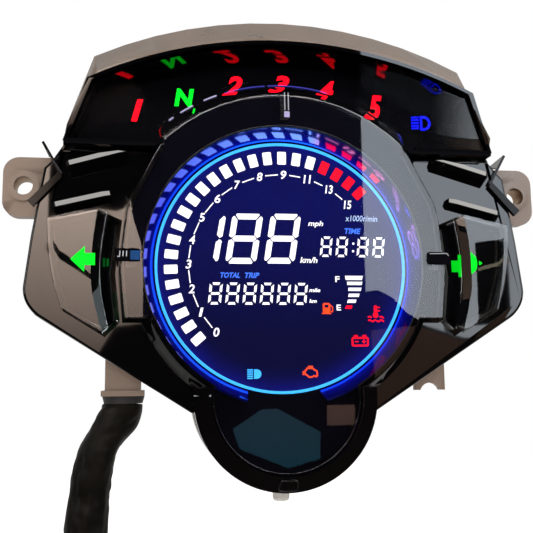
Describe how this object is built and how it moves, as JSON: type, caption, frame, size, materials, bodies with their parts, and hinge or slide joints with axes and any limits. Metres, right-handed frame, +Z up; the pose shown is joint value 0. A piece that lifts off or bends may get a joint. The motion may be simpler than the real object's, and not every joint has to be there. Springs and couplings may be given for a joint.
{
  "type": "motorcycle instrument cluster",
  "caption": "Electronic motorcycle instrument cluster with a round lit display, a gear window under a hood, two turn lamps, two bolt ears and a hanging harness with a plug.",
  "frame": {"origin": "midway between the two ear holes, on the front plane of the ears", "axes": "+X to the right as the rider sees it, +Y away from the rider into the dash, +Z up as installed"},
  "size_m": [0.2244, 0.0477, 0.35],
  "materials": {
    "case_grey": "warm light grey moulded ABS, satin, fine grain",
    "gloss_black": "piano black, polished, bright edges",
    "satin_black": "moulded black, satin",
    "printed_black": "screen-printed black mask with clear marks",
    "rubber_black": "moulded rubber, matt",
    "sleeve_black": "soft PVC sleeve, wrinkled, half gloss",
    "lead_black": "PVC wire insulation",
    "smoked_lens": "smoked polycarbonate, polished",
    "signal_lens": "dark smoked polycarbonate, polished",
    "display_navy": "tinted display film, deep navy when lit",
    "lcd_glass": "segment display glass",
    "light_blue": "lit cyan-blue light guide",
    "diffuser_white": "opal sheet",
    "white_plastic": "white reflector plastic",
    "led_white": "LED package",
    "board_green": "green solder mask on glass fibre",
    "chip_black": "epoxy chip package",
    "capacitor": "sleeved can",
    "steel": "zinc plated",
    "button_grey": "light grey button plastic, satin",
    "plug_white": "natural nylon",
    "brass": "tinned brass terminals"
  },
  "bodies": {
    "cluster": {"rear_case": "case_grey", "case_gasket": "rubber_black", "case_screws": "steel", "breather": "satin_black", "front_bezel": "gloss_black", "main_lens": "smoked_lens", "dial_rim": "gloss_black", "dial_well": "satin_black", "light_ring": "light_blue", "dial_face": "display_navy", "lcd_glass": "lcd_glass", "lcd_pins": "steel", "diffuser": "diffuser_white", "backlight_box": "white_plastic", "dial_leds": "led_white", "main_board": "board_green", "board_chips": "chip_black", "board_capacitors": "capacitor", "buzzer": "satin_black", "board_screws": "steel", "board_header": "white_plastic", "gear_lens": "smoked_lens", "gear_surround": "gloss_black", "gear_legend": "printed_black", "gear_light_box": "white_plastic", "gear_board": "board_green", "gear_leds": "led_white", "signal_lens_left": "signal_lens", "signal_lens_right": "signal_lens", "arrow_plate_left": "printed_black", "arrow_plate_right": "printed_black", "signal_box_left": "white_plastic", "signal_box_right": "white_plastic", "signal_board_left": "board_green", "signal_board_right": "board_green", "signal_leds": "led_white", "fin_upper_left": "gloss_black", "fin_upper_right": "gloss_black", "fin_lower_left": "gloss_black", "fin_lower_right": "gloss_black", "side_clip_left": "satin_black", "side_clip_right": "satin_black", "index_pin_left": "satin_black", "index_pin_right": "satin_black", "index_pin_top": "satin_black", "reset_switch": "steel", "button_boot": "rubber_black", "inner_leads": "lead_black", "outlet_grommet": "rubber_black", "harness_sleeve": "sleeve_black", "plug_housing": "plug_white", "plug_terminals": "brass", "plug_lock": "plug_white"},
    "button": {"reset_button": "button_grey", "switch_plunger": "satin_black"}
  },
  "joints": [
    {"name": "reset_press", "type": "slide", "parent": "cluster", "child": "button", "axis": [0, 0, 1], "range_m": [0, 0.0012], "stiffness_N_per_m": 600}
  ]
}
